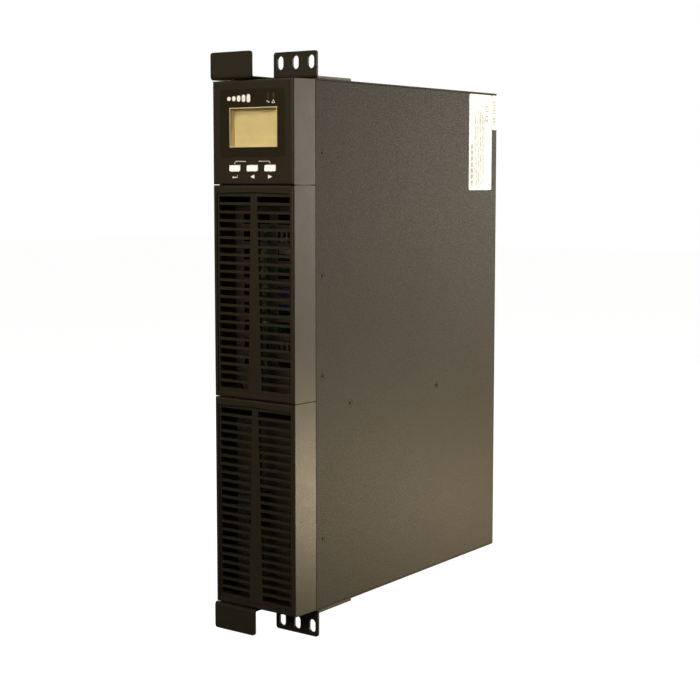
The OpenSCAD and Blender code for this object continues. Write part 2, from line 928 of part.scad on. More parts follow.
// Two rails that carry the battery tray
module bay_rails() {
    color(zinc_grey) placed()
        for (z = [bay_z + battery_l / 5, bay_z + battery_l * 4 / 5])
            block([-inner_x, flange_d + flange_gap, z - rail_w / 2],
                  [tray_x, bay_front + tray_d, z + rail_w / 2]);
}

module battery_tray() {
    top = bay_z + 2 * tray_t + battery_l;
    color(zinc_grey) placed() {
        block([tray_x, bay_front, bay_z], [tray_x + tray_t, bay_front + tray_d, top]);
        for (z = [bay_z, top - tray_t])
            block([tray_x, bay_front, z], [tray_x + tray_lip, bay_front + tray_d, z + tray_t]);
        block([tray_x, bay_front + tray_d - tray_t, bay_z], [tray_x + tray_lip, bay_front + tray_d, top]);
    }
}

// Battery case with the step where its lid meets it
module battery(case_y) {
    lid_h = 10;
    lid_step = 0.5;
    middle = [cell_x + battery_t / 2, cell_z + battery_l / 2];
    along_y(case_y, case_y + lid_h) translate(middle)
        rounded([battery_t - 2 * lid_step, battery_l - 2 * lid_step], 2);
    along_y(case_y + lid_h, case_y + battery_case_h) translate(middle)
        rounded([battery_t, battery_l], 2);
}

function case_y(i) = bay_front + terminal_room + i * cell_pitch;

module battery_front() {
    color(plastic_black) placed() battery(case_y(0));
}

module battery_rear() {
    color(plastic_black) placed() battery(case_y(1));
}

// Blade terminals on the front of each battery
module battery_terminals() {
    color(copper_red) placed()
        for (i = [0, 1], z = [cell_z + terminal_inset, cell_z + battery_l - terminal_inset])
            translate([cell_x + battery_t / 2, case_y(i) - terminal_len / 2, z])
                cube([terminal_w, terminal_len, terminal_t], center = true);
}

// Steel door over the battery bay: two hooks on one side, two screws on the other
module battery_door() {
    hook_x = opening_left + 0.2;
    color(zinc_grey) placed() difference() {
        union() {
            block([door_left, -sheet, door_low], [door_right, 0, door_high]);
            for (z = [opening_low + door_hook_in, opening_high - door_hook_in]) {
                block([hook_x, -eps, z - door_hook_h / 2],
                      [hook_x + door_hook, door_hook_reach, z + door_hook_h / 2]);
                block([door_left, sheet + 0.2, z - door_hook_h / 2],
                      [hook_x + door_hook, door_hook_reach, z + door_hook_h / 2]);
            }
        }
        for (z = door_screw_z) rod_y(door_screw_x, z, door_screw_r + 0.2, -sheet - 1, 1);
        snap_holes(-sheet - 1, door_hook_reach + 1);
        along_y(-sheet - 1, 1) translate([plug_x, lead_hole_z]) rounded([plug_size[0], lead_hole_h], 2);
    }
}

module door_screws() {
    color(zinc_grey) placed()
        for (z = door_screw_z)
            translate([door_screw_x, -sheet, z]) facing_front()
                pan_screw(door_screw_r - 0.1, 3.6, door_screw_head, 7);
}

// Battery plug clipped to the front of the door, its two poles open at the top
module battery_plug() {
    pole_depth = 4;
    color(plastic_black) placed()
        translate([plug_x, -sheet - plug_size[1] / 2, plug_z])
            difference() {
                cube(plug_size, center = true);
                for (side = [-1, 1])
                    translate([side * plug_size[0] / 4, 0, plug_size[2] / 2])
                        cube([plug_size[0] / 3, plug_size[1] / 2, 2 * pole_depth], center = true);
            }
}

// Lead from the plug down the door, back through its hole and to a battery terminal
module battery_lead(side) {
    x = plug_x + side * plug_size[0] / 4;
    terminal_z = side > 0 ? cell_z + battery_l - terminal_inset : cell_z + terminal_inset;
    bay_y = bay_front - 2.5;
    terminal_x = cell_x + battery_t / 2;
    wire([
        [x, -sheet - plug_size[1] / 2, plug_z - plug_size[2] / 2],
        [x, -sheet - plug_size[1] / 2, lead_hole_z],
        [x, bay_y, lead_hole_z],
        [terminal_x, bay_y, terminal_z],
        [terminal_x, case_y(0) - terminal_len, terminal_z]
    ], lead_r);
}

module battery_lead_red() {
    color(wire_red) placed() battery_lead(1);
}

module battery_lead_black() {
    color(plastic_black) placed() battery_lead(-1);
}

// Places of the posts under the main board as [y, z]
function post_places() = [
    for (y = [board_y + board_edge, (board_y + board_back) / 2, board_back - board_edge],
         z = [board_low + board_edge, board_high - board_edge]) [y, z]
];

module board_insulator() {
    color([0.85, 0.8, 0.55]) placed() difference() {
        block([-inner_x, board_y - 2, board_low - 2],
              [-inner_x + insulator_t, board_back + 2, board_high + 2]);
        for (place = post_places()) rod_x(place[0], place[1], post_r + 0.3, -inner_x - 1, -inner_x + 2);
    }
}

module board_posts() {
    color(zinc_grey) placed()
        for (place = post_places()) difference() {
            rod_x(place[0], place[1], post_r, -inner_x, board_x);
            rod_x(place[0], place[1], 1.3, -inner_x + 1, board_x + 1);
        }
}

module main_board() {
    color(board_green) placed() difference() {
        block([board_x, board_y, board_low], [board_top, board_back, board_high]);
        for (place = post_places()) rod_x(place[0], place[1], 1.6, board_x - 1, board_top + 1);
    }
}

module board_screws() {
    color(zinc_grey) placed()
        for (place = post_places())
            translate([board_top, place[0], place[1]]) facing_right() pan_screw(1.2, 2.8, 2, 6);
}

// Finned extrusion with its fins up, drawn in x and z
module sink_profile() {
    rectangle([0, 0], [sink_h, sink_base]);
    for (i = [0 : sink_fins - 1])
        translate([i * (sink_h - sink_fin_t) / (sink_fins - 1), 0]) square([sink_fin_t, sink_base + sink_fin_h]);
}

module heat_sinks() {
    color(aluminium_grey) placed()
        for (row = [0, 2])
            along_y(parts_y, parts_y + sink_l)
                translate([board_top, row_z(row) + transistor[1]]) sink_profile();
}

// Power transistors on the flat side of each heat sink, standing on their leads
module power_transistors() {
    lead_h = 5;
    lead_w = 1.2;
    lead_pitch = 5.4;
    count = 4;
    end_margin = 8;
    step = (sink_l - 2 * end_margin - transistor[0]) / (count - 1);
    color(plastic_black) placed()
        for (row = [0, 2], i = [0 : count - 1])
            translate([board_top, parts_y + end_margin + i * step, row_z(row)]) {
                translate([lead_h, 0, 0]) cube([transistor[2], transistor[0], transistor[1]]);
                for (lead = [-1, 0, 1])
                    translate([0, transistor[0] / 2 + lead * lead_pitch - lead_w / 2, transistor[1] / 2])
                        cube([lead_h + eps, lead_w, lead_w / 2]);
            }
}

// Storage capacitors in a row
module storage_capacitors() {
    score = [1, capacitor_d * 0.7, 0.8];
    color([0.10, 0.13, 0.25]) placed()
        for (i = [0 : capacitor_count - 1])
            translate([board_top, parts_y + capacitor_d / 2 + i * capacitor_pitch, row_z(1) + capacitor_d / 2])
                difference() {
                    rod_x(0, 0, capacitor_d / 2, 0, capacitor_l);
                    for (turn = [0, 90])
                        translate([capacitor_l, 0, 0]) rotate([turn, 0, 0]) cube(score, center = true);
                }
}

// Two-legged ferrite core round a wound coil
module transformer_core() {
    color([0.16, 0.16, 0.17]) placed()
        translate([board_top + core_up, parts_y + core_in + core_side / 2, row_z(3) + core_side / 2])
            along_x(0, coil_h) difference() {
                square(core_side, center = true);
                square(core_side - 2 * core_leg, center = true);
            }
}

module transformer_coil() {
    color([0.85, 0.65, 0.15]) placed()
        translate([board_top, parts_y + core_in + core_side / 2, row_z(3) + core_side / 2])
            along_x(0, coil_h + 2 * core_up) square(core_side - 2 * core_leg, center = true);
}

// Ring chokes lying on the board, beside the transformer
module chokes() {
    outside_r = choke_r + choke_wire_r;
    first_y = parts_y + core_in + core_side + outside_r + 5;
    color(copper_red) placed()
        for (i = [0, 1])
            translate([board_top + choke_wire_r, first_y + i * 2 * (outside_r + 1), row_z(3) + core_side / 2])
                rotate([0, 90, 0]) rotate_extrude() translate([choke_r, 0]) circle(choke_wire_r);
}

// Relays in the row of the capacitors, after the last of them
module relays() {
    first_y = parts_y + capacitor_count * capacitor_pitch + relay_gap;
    color([0.12, 0.25, 0.5]) placed()
        for (i = [0, 1])
            translate([board_top, first_y + i * (relay[1] + relay_gap), row_z(1)]) cube(relay);
}

// Upright control board with its two processors
module control_board() {
    board = [48, 96, board_t];
    chip = [20, 20, 2];
    chip_at = [14, 16, board_t];
    chip_pitch = 42;
    color([0.05, 0.22, 0.35]) placed()
        translate([board_top, parts_y + core_in + core_side - 2, row_z(4)]) {
            cube(board);
            for (i = [0, 1]) translate(chip_at + [0, i * chip_pitch, 0]) cube(chip);
        }
}

// Live, neutral and earth leads from the inlet up to the main board
module mains_wires() {
    wire_pitch = 6;
    turn_y = board_back + 8;
    end_y = board_back - 8;
    color([0.3, 0.25, 0.2]) placed()
        for (i = [-1, 0, 1]) {
            x = inlet_x + i * wire_pitch;
            up_z = board_low + 20 + i * wire_pitch;
            wire([
                [x, chassis_d - connector_depth, inlet_z],
                [x, turn_y, inlet_z],
                [x, turn_y, up_z],
                [x, end_y, up_z],
                [board_top, end_y, up_z]
            ], 1.5);
        }
}

// Square fan frame with its motor seat on four arms
module fan_frame() {
    front = rear_y - fan_d;
    color(plastic_black) placed() difference() {
        union() {
            difference() {
                along_y(front, rear_y) translate([0, fan_z]) rounded([fan_size, fan_size], 5);
                rod_y(0, fan_z, fan_size / 2 - fan_wall, front - 1, rear_y + 1);
            }
            rod_y(0, fan_z, fan_hub_r, rear_y - fan_motor_t, rear_y);
            for (turn = [45, 135])
                translate([0, rear_y - fan_motor_t / 2, fan_z]) rotate([0, turn, 0])
                    cube([fan_size - 2 * fan_wall + 1, fan_motor_t, 4], center = true);
        }
        fan_corners() rod_y(0, 0, fan_hole_r - 0.2, front - 1, rear_y + 1);
        rod_y(0, fan_z, fan_shaft_r + fan_shaft_clear, rear_y - fan_motor_t - 1, rear_y - 1);
    }
}

// Hub, blades and shaft, turning as one
module fan_rotor() {
    front = rear_y - fan_d + 1.5;
    back = rear_y - fan_motor_t - 1;
    blade_d = back - front - 2;
    blade_mid = front + 1 + blade_d / 2;
    tip_r = fan_size / 2 - fan_wall - fan_tip_clear;
    root_r = fan_hub_r - 4;
    color([0.1, 0.1, 0.1]) placed() {
        rod_y(0, fan_z, fan_hub_r, front, back);
        rod_y(0, fan_z, fan_shaft_r, back - eps, rear_y - 1.5);
        intersection() {
            rod_y(0, fan_z, tip_r, blade_mid - blade_d / 2, blade_mid + blade_d / 2);
            for (i = [0 : fan_blades - 1])
                translate([0, blade_mid, fan_z]) rotate([0, i * 360 / fan_blades, 0])
                    translate([0, 0, (root_r + tip_r + 1) / 2]) rotate([0, 0, fan_blade_tilt])
                        cube([fan_blade_t, blade_d * 1.6, tip_r + 1 - root_r], center = true);
        }
    }
}

// Wire finger guard on the outside of the rear panel: rings on two crossed wires
module fan_guard() {
    rings = 4;
    ring_step = (fan_size / 2 - 6) / rings;
    ring_y = chassis_d + 3 * guard_wire_r;
    cross_y = chassis_d + 1.8 * guard_wire_r;
    cross_reach = fan_hole * sqrt(2) - 3.8;
    color(zinc_grey) placed() {
        for (i = [1 : rings])
            translate([0, ring_y, fan_z]) rotate([90, 0, 0])
                rotate_extrude() translate([i * ring_step + 3, 0]) circle(guard_wire_r, $fn = 24);
        for (turn = [45, 135])
            translate([0, cross_y, fan_z]) rotate([0, turn, 0])
                translate([-cross_reach, 0, 0]) rotate([0, 90, 0])
                    cylinder(r = guard_wire_r, h = 2 * cross_reach, $fn = 24);
        fan_corners() difference() {
            rod_y(0, 0, 4, chassis_d, chassis_d + 2 * guard_wire_r);
            rod_y(0, 0, 2.3, chassis_d - 1, chassis_d + 3 * guard_wire_r);
        }
    }
}

module fan_screws() {
    color(zinc_grey) placed()
        fan_corners() translate([0, chassis_d + 2 * guard_wire_r, 0]) facing_rear()
            pan_screw(1.8, 3.4, 1.8, 12);
}

// Body and flange of a panel mains connector, drawn in x and z about its centre
module connector_body(place) {
    translate([place[0], 0, place[1]]) {
        along_y(chassis_d, chassis_d + connector_flange_t)
            rounded([iec_w + 2 * connector_flange, iec_h + 2 * connector_flange], 2);
        along_y(chassis_d - connector_depth, chassis_d + eps) square([iec_w, iec_h], center = true);
    }
}

// Mains inlet: a deep socket with three blades
module mains_inlet() {
    face = chassis_d + connector_flange_t;
    depth = 15;
    blade_in = 3;
    color(plastic_black) placed() {
        difference() {
            connector_body([inlet_x, inlet_z]);
            along_y(face - depth, face + 1) translate([inlet_x, inlet_z])
                rounded([iec_w - 3, iec_h - 3.5], 2);
        }
        for (blade = blade_places)
            along_y(face - depth - eps, face - blade_in) translate([inlet_x, inlet_z] + blade)
                square([2, 4], center = true);
    }
}

// Mains outlets: each a raised face with three slots
module mains_outlets() {
    face = chassis_d + connector_flange_t;
    color(plastic_black) placed()
        for (place = outlet_places()) difference() {
            connector_body(place);
            for (blade = blade_places)
                along_y(face - pin_hole_d, face + 1) translate(place + blade)
                    square([2.4, 5.4], center = true);
            along_y(face - 1, face + 1) translate(place) difference() {
                rounded([iec_w - 2, iec_h - 2], 2);
                rounded([iec_w - 4, iec_h - 4], 2);
            }
        }
}

// Resettable circuit breaker: threaded bush, nut and case behind the panel
module breaker_body() {
    color(plastic_black) placed() difference() {
        union() {
            rod_y(breaker_x, inlet_z, breaker_bush_r - 0.2, rear_y - 2, chassis_d + 4);
            rod_y(breaker_x, inlet_z, breaker_bush_r + 2.5, chassis_d, chassis_d + 2.4);
            translate([breaker_x, rear_y - breaker_case[1] / 2 - eps, inlet_z])
                cube(breaker_case, center = true);
        }
        rod_y(breaker_x, inlet_z, breaker_button_r + 0.3, rear_y - 8, chassis_d + 5);
    }
}

// Reset button: pushed in at rest, stands out when the breaker has tripped
module breaker_button() {
    color(label_white) placed() rod_y(breaker_x, inlet_z, breaker_button_r, rear_y - 7, chassis_d + 3.4);
}

// Surge pair, USB, emergency stop and serial ports
module data_ports() {
    color([0.35, 0.36, 0.38]) placed()
        for (port = ports) {
            face = chassis_d + port[4];
            translate([port[0], 0, port[1]]) difference() {
                along_y(chassis_d - 14, face) square([port[2], port[3]], center = true);
                along_y(face - port[6], face + 1)
                    square([port[2] - 2 * port[5], port[3] - 2 * port[5]], center = true);
            }
        }
}

// Socket for an outside battery pack
module battery_socket() {
    color([0.55, 0.08, 0.06]) placed() difference() {
        along_y(chassis_d - 24, chassis_d + 2) translate([socket_x, socket_z])
            square(socket_size, center = true);
        for (side = [-1, 1])
            along_y(chassis_d - 10, chassis_d + 3) translate([socket_x + side * socket_pole_off, socket_z])
                square(socket_pole, center = true);
    }
}

// Blanking plate over the expansion slot
module card_cover() {
    color(zinc_grey) placed() difference() {
        along_y(chassis_d, chassis_d + card_t) translate([0, card_z]) rounded([card_w, card_h], 1.5);
        for (side = [-1, 1])
            rod_y(0, card_z + side * card_screw_off, card_screw_r + 0.1, chassis_d - 1, chassis_d + card_t + 1);
    }
}

// Screws of the blanking plate, and the earth screw
module rear_screws() {
    color(zinc_grey) placed() {
        for (side = [-1, 1])
            translate([0, chassis_d + card_t, card_z + side * card_screw_off]) facing_rear()
                pan_screw(card_screw_r, 3.2, 1.8, 5);
        translate([earth_x, chassis_d, socket_z]) facing_rear() pan_screw(earth_r, 4, 2.4, 6);
    }
}

chassis_tray();
side_cover();
front_plate();
rear_panel();
bay_partition();
cover_screws();
rack_ear_top();
rack_ear_bottom();
ear_screws();
cover_labels();
display_housing();
display_panel();
display_lens();
display_frame();
display_cell();
line_light();
fault_light();
display_board();
touch_switches();
display_ribbon();
button_enter();
button_left();
button_right();
grille_upper();
grille_lower();
bay_rails();
battery_tray();
battery_front();
battery_rear();
battery_terminals();
battery_door();
door_screws();
battery_plug();
battery_lead_red();
battery_lead_black();
board_insulator();
board_posts();
main_board();
board_screws();
heat_sinks();
power_transistors();
storage_capacitors();
transformer_core();
transformer_coil();
chokes();
relays();
control_board();
mains_wires();
fan_frame();
fan_rotor();
fan_guard();
fan_screws();
mains_inlet();
mains_outlets();
breaker_body();
breaker_button();
data_ports();
battery_socket();
card_cover();
rear_screws();
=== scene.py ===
import json
import math

import bmesh
import bpy
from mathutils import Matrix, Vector

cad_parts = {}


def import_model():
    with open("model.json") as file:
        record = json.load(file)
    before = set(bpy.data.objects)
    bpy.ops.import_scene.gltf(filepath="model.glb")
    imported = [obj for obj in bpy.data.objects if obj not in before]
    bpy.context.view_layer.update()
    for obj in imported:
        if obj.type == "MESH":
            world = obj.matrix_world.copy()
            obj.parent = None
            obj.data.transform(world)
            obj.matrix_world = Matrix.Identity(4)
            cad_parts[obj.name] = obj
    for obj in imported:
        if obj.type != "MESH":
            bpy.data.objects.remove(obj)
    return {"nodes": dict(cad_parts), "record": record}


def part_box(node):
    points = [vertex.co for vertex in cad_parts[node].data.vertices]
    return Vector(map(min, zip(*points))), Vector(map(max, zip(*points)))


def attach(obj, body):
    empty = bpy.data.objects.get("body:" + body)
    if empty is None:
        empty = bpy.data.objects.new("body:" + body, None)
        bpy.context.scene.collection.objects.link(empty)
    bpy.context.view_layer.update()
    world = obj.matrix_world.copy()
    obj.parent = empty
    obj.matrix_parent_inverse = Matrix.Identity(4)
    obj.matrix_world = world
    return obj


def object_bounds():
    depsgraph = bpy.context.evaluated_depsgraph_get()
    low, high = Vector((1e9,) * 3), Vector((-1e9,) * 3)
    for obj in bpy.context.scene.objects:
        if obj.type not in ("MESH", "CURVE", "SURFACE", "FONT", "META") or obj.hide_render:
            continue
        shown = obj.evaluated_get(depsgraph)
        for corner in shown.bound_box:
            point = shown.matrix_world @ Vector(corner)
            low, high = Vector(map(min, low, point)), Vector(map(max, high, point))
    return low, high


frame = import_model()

MM = 0.001
cad_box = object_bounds()

# most of a noise texture's values lie between these two
NOISE_LOW = 0.3
NOISE_HIGH = 0.7


# ---------------------------------------------------------------- node graph helpers

def new_material(name):
    """An empty material with its shader and output, and the node tree to build on."""
    material = bpy.data.materials.new(name)
    material.use_nodes = True
    tree = material.node_tree
    tree.nodes.clear()
    output = tree.nodes.new("ShaderNodeOutputMaterial")
    shader = tree.nodes.new("ShaderNodeBsdfPrincipled")
    tree.links.new(shader.outputs["BSDF"], output.inputs["Surface"])
    return material, tree, shader


def coordinates(tree, stretch=(1, 1, 1)):
    """Places on the object in metres, stretched along each axis."""
    place = tree.nodes.new("ShaderNodeTexCoord")
    mapping = tree.nodes.new("ShaderNodeMapping")
    mapping.inputs["Scale"].default_value = stretch
    tree.links.new(place.outputs["Object"], mapping.inputs["Vector"])
    return mapping.outputs["Vector"]


def noise(tree, vector, size, detail=3.0, roughness=0.55):
    """Noise whose lumps are about size metres across."""
    node = tree.nodes.new("ShaderNodeTexNoise")
    node.inputs["Scale"].default_value = 1 / size
    node.inputs["Detail"].default_value = detail
    node.inputs["Roughness"].default_value = roughness
    tree.links.new(vector, node.inputs["Vector"])
    return node.outputs["Fac"]


def ramp(tree, value, low, high, at_low, at_high):
    """Value remapped from low..high to at_low..at_high, clamped."""
    node = tree.nodes.new("ShaderNodeMapRange")
    node.inputs["From Min"].default_value = low
    node.inputs["From Max"].default_value = high
    node.inputs["To Min"].default_value = at_low
    node.inputs["To Max"].default_value = at_high
    tree.links.new(value, node.inputs["Value"])
    return node.outputs["Result"]


def mix(tree, factor, first, second):
    """Colour mix; first and second are colours or sockets, factor is a socket."""
    node = tree.nodes.new("ShaderNodeMix")
    node.data_type = "RGBA"
    tree.links.new(factor, node.inputs["Factor"])
    for name, value in (("A", first), ("B", second)):
        socket = next(s for s in node.inputs if s.name == name and s.type == "RGBA")
        if isinstance(value, bpy.types.NodeSocket):
            tree.links.new(value, socket)
        else:
            socket.default_value = (*value, 1)
    return next(s for s in node.outputs if s.type == "RGBA")


def maths(tree, operation, first, second):
    """One maths node; first is a socket, second a socket or a number."""
    node = tree.nodes.new("ShaderNodeMath")
    node.operation = operation
    tree.links.new(first, node.inputs[0])
    if isinstance(second, bpy.types.NodeSocket):
        tree.links.new(second, node.inputs[1])
    else:
        node.inputs[1].default_value = second
    return node.outputs[0]


def soft_edges(tree, radius):
    """Normals rounded over edges, and a mask that is 1 on the edges."""
    rounded = tree.nodes.new("ShaderNodeBevel")
    rounded.samples = 6
    rounded.inputs["Radius"].default_value = radius
    geometry = tree.nodes.new("ShaderNodeNewGeometry")
    dot = tree.nodes.new("ShaderNodeVectorMath")
    dot.operation = "DOT_PRODUCT"
    tree.links.new(rounded.outputs["Normal"], dot.inputs[0])
    tree.links.new(geometry.outputs["Normal"], dot.inputs[1])
    mask = ramp(tree, dot.outputs["Value"], 0.985, 0.90, 0, 1)
    return rounded.outputs["Normal"], mask


def bump(tree, height, depth, normal=None):
    """Bump of the given depth in metres, on top of a normal if there is one."""
    node = tree.nodes.new("ShaderNodeBump")
    node.inputs["Strength"].default_value = 1.0
    node.inputs["Distance"].default_value = depth
    tree.links.new(height, node.inputs["Height"])
    if normal is not None:
        tree.links.new(normal, node.inputs["Normal"])
    return node.outputs["Normal"]


def shade(colour, factor):
    """The colour made darker or lighter by a factor."""
    return tuple(min(1.0, c * factor) for c in colour)


# ---------------------------------------------------------------- materials

def powder_coat(name, colour, grain=1.2 * MM, roughness=0.52, wear=0.12, sheen=0.5, edge_r=0.5 * MM):
    """Fine-texture powder coat over sheet steel: leathery lumps, cloudy tone, rubbed edges."""
    material, tree, shader = new_material(name)
    where = coordinates(tree)
    cloud = noise(tree, where, 60 * MM, 4)
    lumps = noise(tree, where, grain, 2, 0.5)
    fine = noise(tree, where, grain / 3, 2, 0.6)
    rubbed = noise(tree, where, 7 * MM)
    normal, edge = soft_edges(tree, edge_r)
    cloudy = ramp(tree, cloud, NOISE_LOW, NOISE_HIGH, 0, 1)
    tone = mix(tree, cloudy, shade(colour, 0.9), shade(colour, 1.1))
    speck = mix(tree, ramp(tree, lumps, 0.35, 0.7, 0, 1), tone, shade(colour, 1.75))
    patchy = maths(tree, "MULTIPLY", edge, ramp(tree, rubbed, 0.4, 0.75, 0, wear))
    base = mix(tree, patchy, speck, shade(colour, 2.2))
    tree.links.new(base, shader.inputs["Base Color"])
    rough = ramp(tree, lumps, NOISE_LOW, NOISE_HIGH, roughness - 0.07, roughness + 0.09)
    tree.links.new(rough, shader.inputs["Roughness"])
    height = maths(tree, "ADD", lumps, maths(tree, "MULTIPLY", fine, 0.35))
    lump_depth = grain * 0.2
    tree.links.new(bump(tree, height, lump_depth, normal), shader.inputs["Normal"])
    shader.inputs["Specular IOR Level"].default_value = sheen
    return material


def moulded_plastic(name, colour, roughness=0.42, grain=0.6 * MM, depth=0.045 * MM, sheen=0.5,
                    edge_lift=1.7):
    """Spark-textured moulding: fine even grain, slight flow clouding, edges lightened as burnishing and as
    a painted edge highlight.
    """
    material, tree, shader = new_material(name)
    where = coordinates(tree)
    cloud = noise(tree, where, 35 * MM, 3)
    fine = noise(tree, where, grain, 2, 0.6)
    handled = noise(tree, where, 14 * MM, 5, 0.65)
    normal, edge = soft_edges(tree, 0.3 * MM)
    cloudy = ramp(tree, cloud, NOISE_LOW, NOISE_HIGH, 0, 1)
    tone = mix(tree, cloudy, shade(colour, 0.95), shade(colour, 1.06))
    grainy = mix(tree, ramp(tree, fine, 0.4, 0.75, 0, 0.6), tone, shade(colour, 1.7))
    # edges lighter by edge_lift: partly burnishing, partly a painted highlight along every edge
    base = mix(tree, maths(tree, "MULTIPLY", edge, 0.3), grainy, shade(colour, edge_lift))
    tree.links.new(base, shader.inputs["Base Color"])
    rough = ramp(tree, handled, 0.3, 0.75, roughness - 0.02, roughness + 0.035)
    tree.links.new(rough, shader.inputs["Roughness"])
    tree.links.new(bump(tree, fine, depth, normal), shader.inputs["Normal"])
    shader.inputs["Specular IOR Level"].default_value = sheen
    return material


def metal(name, colour, roughness=0.32, stretch=(1, 1, 1), line=0.25 * MM, tarnish=0.5):
    """Bare or plated metal: drawn lines along one axis, cloudy plating, dull spots, edges lightened as
    burnish and as a painted glint.
    """
    material, tree, shader = new_material(name)
    lines = noise(tree, coordinates(tree, stretch), line, 3, 0.6)
    where = coordinates(tree)
    cloud = noise(tree, where, 12 * MM, 4)
    normal, edge = soft_edges(tree, 0.3 * MM)
    tone = mix(tree, ramp(tree, cloud, 0.35, 0.7, 0, tarnish), colour, shade(colour, 0.72))
    # edges lighter: partly burnished metal, partly a painted glint along every edge
    base = mix(tree, maths(tree, "MULTIPLY", edge, 0.6), tone, shade(colour, 1.25))
    tree.links.new(base, shader.inputs["Base Color"])
    shader.inputs["Metallic"].default_value = 1.0
    rough = ramp(tree, cloud, 0.3, 0.75, roughness - 0.08, roughness + 0.14)
    tree.links.new(rough, shader.inputs["Roughness"])
    tree.links.new(bump(tree, lines, 0.02 * MM, normal), shader.inputs["Normal"])
    return material


def galvanised(name, colour):
    """Zinc-plated sheet with large faint crystals."""
    material, tree, shader = new_material(name)
    where = coordinates(tree)
    crystals = tree.nodes.new("ShaderNodeTexVoronoi")
    crystals.inputs["Scale"].default_value = 1 / (9 * MM)
    tree.links.new(where, crystals.inputs["Vector"])
    facet = tree.nodes.new("ShaderNodeSeparateColor")
    tree.links.new(crystals.outputs["Color"], facet.inputs["Color"])
    fine = noise(tree, where, 0.5 * MM)
    normal, _ = soft_edges(tree, 0.4 * MM)
    base = mix(tree, facet.outputs["Red"], shade(colour, 0.82), shade(colour, 1.05))
    tree.links.new(base, shader.inputs["Base Color"])
    shader.inputs["Metallic"].default_value = 1.0
    rough = ramp(tree, facet.outputs["Green"], 0, 1, 0.28, 0.48)
    tree.links.new(rough, shader.inputs["Roughness"])
    tree.links.new(bump(tree, fine, 0.01 * MM, normal), shader.inputs["Normal"])
    return material


def circuit_board(name, mask):
    """Solder mask with a faint web of tracks under it."""
    material, tree, shader = new_material(name)
    where = coordinates(tree)
    tracks = tree.nodes.new("ShaderNodeTexVoronoi")
    tracks.feature = "DISTANCE_TO_EDGE"
    tracks.inputs["Scale"].default_value = 1 / (6 * MM)
    tree.links.new(where, tracks.inputs["Vector"])
    line = ramp(tree, tracks.outputs["Distance"], 0.03, 0.06, 1, 0)
    cloud = noise(tree, where, 20 * MM)
    tone = mix(tree, cloud, mask, shade(mask, 1.3))
    tree.links.new(mix(tree, line, tone, shade(mask, 1.9)), shader.inputs["Base Color"])
    tree.links.new(ramp(tree, cloud, NOISE_LOW, NOISE_HIGH, 0.25, 0.4), shader.inputs["Roughness"])
    tree.links.new(bump(tree, line, 0.03 * MM), shader.inputs["Normal"])
    return material


def label_film(name, colour):
    """Printed polyester film: faint orange peel and handling marks."""
    material, tree, shader = new_material(name)
    where = coordinates(tree)
    peel = noise(tree, where, 1.6 * MM, 2)
    smudge = noise(tree, where, 18 * MM, 4, 0.6)
    tone = mix(tree, ramp(tree, smudge, 0.45, 0.8, 0, 0.5), colour, shade(colour, 0.93))
    tree.links.new(tone, shader.inputs["Base Color"])
    tree.links.new(ramp(tree, smudge, 0.3, 0.8, 0.28, 0.46), shader.inputs["Roughness"])
    tree.links.new(bump(tree, peel, 0.01 * MM), shader.inputs["Normal"])
    return material


def display_film(name, colour):
    """Unlit reflective display: soft mottle under faint level bands."""
    material, tree, shader = new_material(name)
    where = coordinates(tree)
    mottle = noise(tree, where, 11 * MM, 3, 0.55)
    bands = tree.nodes.new("ShaderNodeTexWave")
    bands.bands_direction = "Z"
    bands.inputs["Scale"].default_value = 1 / (22 * MM)
    tree.links.new(where, bands.inputs["Vector"])
    mottled = ramp(tree, mottle, NOISE_LOW, NOISE_HIGH, 0, 1)
    tone = mix(tree, mottled, shade(colour, 0.94), shade(colour, 1.07))
    lined = mix(tree, ramp(tree, bands.outputs["Fac"], 0, 1, 0, 0.06), tone, shade(colour, 0.8))
    tree.links.new(lined, shader.inputs["Base Color"])
    tree.links.new(ramp(tree, mottle, NOISE_LOW, NOISE_HIGH, 0.32, 0.45), shader.inputs["Roughness"])
    tree.links.new(bump(tree, mottle, 0.01 * MM), shader.inputs["Normal"])
    return material


def clear_lens(name):
    """Thin clear window with a little haze."""
    material, tree, shader = new_material(name)
    haze = noise(tree, coordinates(tree), 9 * MM, 4)
    tone = mix(tree, haze, (0.96, 0.95, 0.90), (1.0, 0.99, 0.95))
    tree.links.new(tone, shader.inputs["Base Color"])
    tree.links.new(ramp(tree, haze, 0.4, 0.8, 0.02, 0.10), shader.inputs["Roughness"])
    shader.inputs["Transmission Weight"].default_value = 1.0
    shader.inputs["IOR"].default_value = 1.12
    return material


def rubber_skin(name, colour):
    """Cable jacket: fine matt grain and a dusty bloom."""
    material, tree, shader = new_material(name)
    where = coordinates(tree)
    bloom = noise(tree, where, 6 * MM, 4)
    fine = noise(tree, where, 0.4 * MM)
    tone = mix(tree, ramp(tree, bloom, 0.4, 0.75, 0, 0.4), colour, shade(colour, 1.5))
    tree.links.new(tone, shader.inputs["Base Color"])
    tree.links.new(ramp(tree, bloom, NOISE_LOW, NOISE_HIGH, 0.4, 0.55), shader.inputs["Roughness"])
    tree.links.new(bump(tree, fine, 0.03 * MM), shader.inputs["Normal"])
    return material


FRONT_BLACK = (0.014, 0.010, 0.0045)

